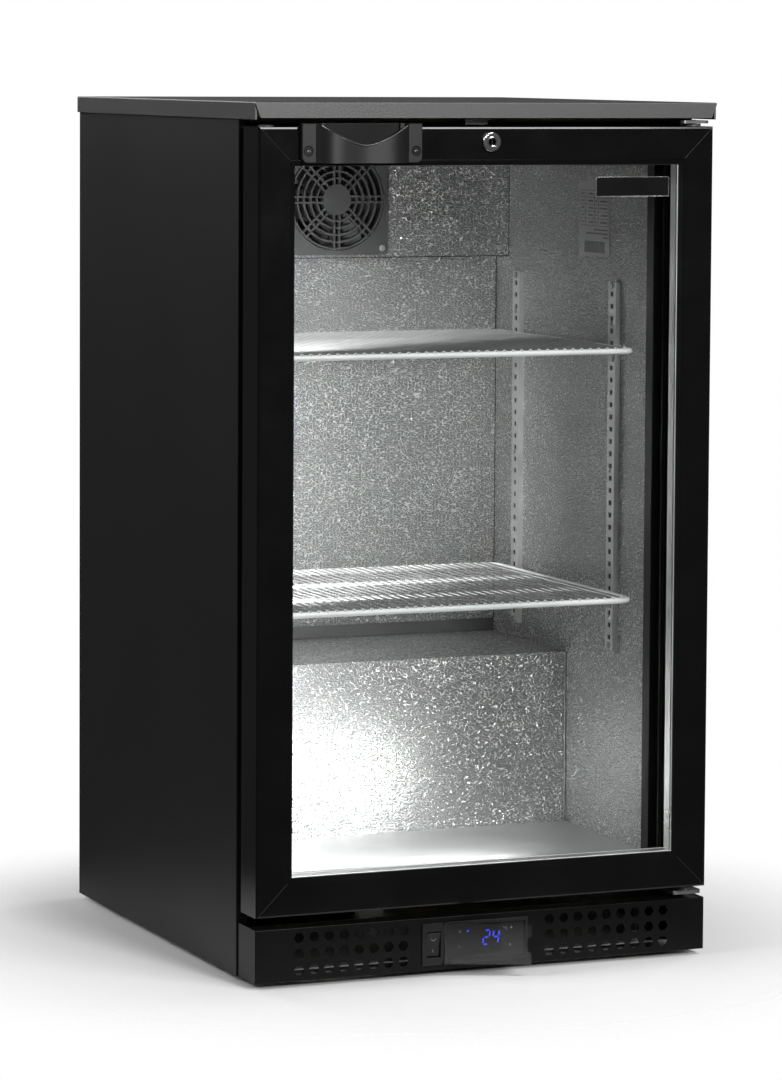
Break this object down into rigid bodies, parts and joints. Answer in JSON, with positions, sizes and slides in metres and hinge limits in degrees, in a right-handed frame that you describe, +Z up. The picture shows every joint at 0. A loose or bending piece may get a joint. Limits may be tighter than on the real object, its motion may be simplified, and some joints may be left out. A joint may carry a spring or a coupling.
{
  "type": "undercounter refrigerator",
  "caption": "Black back-bar cooler with a glazed door hinged on the right, wire shelves inside, a vented plinth with a controller, and adjustable feet.",
  "frame": {"origin": "bottom centre of everything: the floor under the feet, midway between the sides, midway between the ajar flap's tip and the back", "axes": "+X to the object's right as its door is faced from the front, +Y to its back, +Z up"},
  "size_m": [0.5, 0.5668, 0.872],
  "materials": {
    "casing_black": "satin black powder coat",
    "worktop_black": "fine-textured satin dark grey coat",
    "plinth_black": "satin black powder coat",
    "door_black": "gloss black coated aluminium profile",
    "stucco_aluminium": "stucco-embossed",
    "plain_aluminium": "plain rolled",
    "galvanised_steel": "galvanised",
    "rail_steel": "bright slotted strip",
    "zinc_steel": "zinc plated",
    "foam": "foamed-in polyurethane",
    "black_plastic": "fine matt",
    "fan_plastic": "moulded",
    "handle_plastic": "satin moulded, dark grey",
    "foot_plastic": "moulded on a steel stem",
    "bush_plastic": "plain grey",
    "black_screws": "blackened",
    "display_lens": "dark gloss",
    "badge_black": "blank gloss plate",
    "clear_plastic": "clear, lightly smoked",
    "glass": "clear, low-e double glazing",
    "spacer_aluminium": "bright",
    "gasket_rubber": "matt extruded",
    "lock_chrome": "polished",
    "white_wire": "white plastic-coated wire",
    "compressor_black": "semi-gloss enamel",
    "copper": "drawn tube",
    "lamp_lens": "opal diffuser"
  },
  "bodies": {
    "cabinet": {"left_side_panel": "casing_black", "right_side_panel": "casing_black", "back_panel": "galvanised_steel", "base_pan": "galvanised_steel", "foam_insulation": "foam", "breaker_frame": "black_plastic", "liner_side_walls": "stucco_aluminium", "liner_back_wall": "stucco_aluminium", "liner_ceiling": "stucco_aluminium", "liner_floor": "plain_aluminium", "compressor_step_cover": "stucco_aluminium", "worktop": "worktop_black", "plinth_panel": "plinth_black", "controller_bezel": "black_plastic", "thermostat": "display_lens", "top_hinge_bracket": "zinc_steel", "bottom_hinge_bracket": "zinc_steel", "hinge_pins": "zinc_steel", "lock_keeper": "zinc_steel", "evaporator_cover": "stucco_aluminium", "evaporator_coil": "plain_aluminium", "evaporator_fan_frame": "black_plastic", "evaporator_fan_grille": "black_plastic", "rear_duct_panel": "stucco_aluminium", "shelf_rails": "rail_steel", "shelf_clips": "zinc_steel", "cabinet_screws": "zinc_steel", "led_lamp": "lamp_lens", "compressor": "compressor_black", "condenser": "plain_aluminium", "condenser_fan_frame": "galvanised_steel", "condensate_tray": "black_plastic", "electrical_box": "black_plastic", "cable_gland": "black_plastic", "rear_grille": "casing_black", "refrigerant_pipes": "copper"},
    "door": {"door_left_profile": "door_black", "door_right_profile": "door_black", "door_top_profile": "door_black", "door_bottom_profile": "door_black", "glass_panes": "glass", "glass_spacer": "spacer_aluminium", "door_gasket": "gasket_rubber", "door_handle": "handle_plastic", "handle_screws": "black_screws", "lock_body": "lock_chrome", "badge_plate": "badge_black", "door_bushes": "bush_plastic"},
    "lock": {"lock_cylinder": "lock_chrome", "lock_cam": "zinc_steel"},
    "evaporator_fan": {"evaporator_fan_rotor": "fan_plastic"},
    "condenser_fan": {"condenser_fan_rotor": "plain_aluminium"},
    "flap": {"controller_flap": "clear_plastic"},
    "rocker": {"rocker_switch": "black_plastic"},
    "upper_shelf": {"upper_shelf": "white_wire"},
    "lower_shelf": {"lower_shelf": "white_wire"},
    "foot_front_left": {"foot_front_left": "foot_plastic"},
    "foot_front_right": {"foot_front_right": "foot_plastic"},
    "foot_rear_left": {"foot_rear_left": "foot_plastic"},
    "foot_rear_right": {"foot_rear_right": "foot_plastic"}
  },
  "joints": [
    {"name": "door_hinge", "type": "hinge", "parent": "cabinet", "child": "door", "pos_m": [0.232, -0.22659, 0.46], "axis": [0, 0, 1], "range_deg": [0, 110]},
    {"name": "lock_turn", "type": "hinge", "parent": "door", "child": "lock", "pos_m": [0, -0.2466, 0.833], "axis": [0, -1, 0], "range_deg": [0, 90]},
    {"name": "evaporator_fan_spin", "type": "hinge", "parent": "cabinet", "child": "evaporator_fan", "pos_m": [0, 0.16991, 0.763], "axis": [0, -1, 0], "continuous": true},
    {"name": "condenser_fan_spin", "type": "hinge", "parent": "cabinet", "child": "condenser_fan", "pos_m": [0.1025, 0.1154, 0.1075], "axis": [0, 1, 0], "continuous": true},
    {"name": "flap_hinge", "type": "hinge", "parent": "cabinet", "child": "flap", "pos_m": [-0.044, -0.24769, 0.03275], "axis": [0, 0, -1], "range_deg": [-24, 70]},
    {"name": "rocker_tilt", "type": "hinge", "parent": "cabinet", "child": "rocker", "pos_m": [-0.056, -0.2396, 0.0325], "axis": [-1, 0, 0], "range_deg": [0, 12]},
    {"name": "upper_shelf_lift", "type": "slide", "parent": "cabinet", "child": "upper_shelf", "axis": [0, 0, 1], "range_m": [0, 0.025]},
    {"name": "lower_shelf_lift", "type": "slide", "parent": "cabinet", "child": "lower_shelf", "axis": [0, 0, 1], "range_m": [0, 0.025]},
    {"name": "foot_front_left_screw", "type": "slide", "parent": "cabinet", "child": "foot_front_left", "axis": [0, 0, -1], "range_m": [0, 0.02]},
    {"name": "foot_front_right_screw", "type": "slide", "parent": "cabinet", "child": "foot_front_right", "axis": [0, 0, -1], "range_m": [0, 0.02]},
    {"name": "foot_rear_left_screw", "type": "slide", "parent": "cabinet", "child": "foot_rear_left", "axis": [0, 0, -1], "range_m": [0, 0.02]},
    {"name": "foot_rear_right_screw", "type": "slide", "parent": "cabinet", "child": "foot_rear_right", "axis": [0, 0, -1], "range_m": [0, 0.02]}
  ]
}
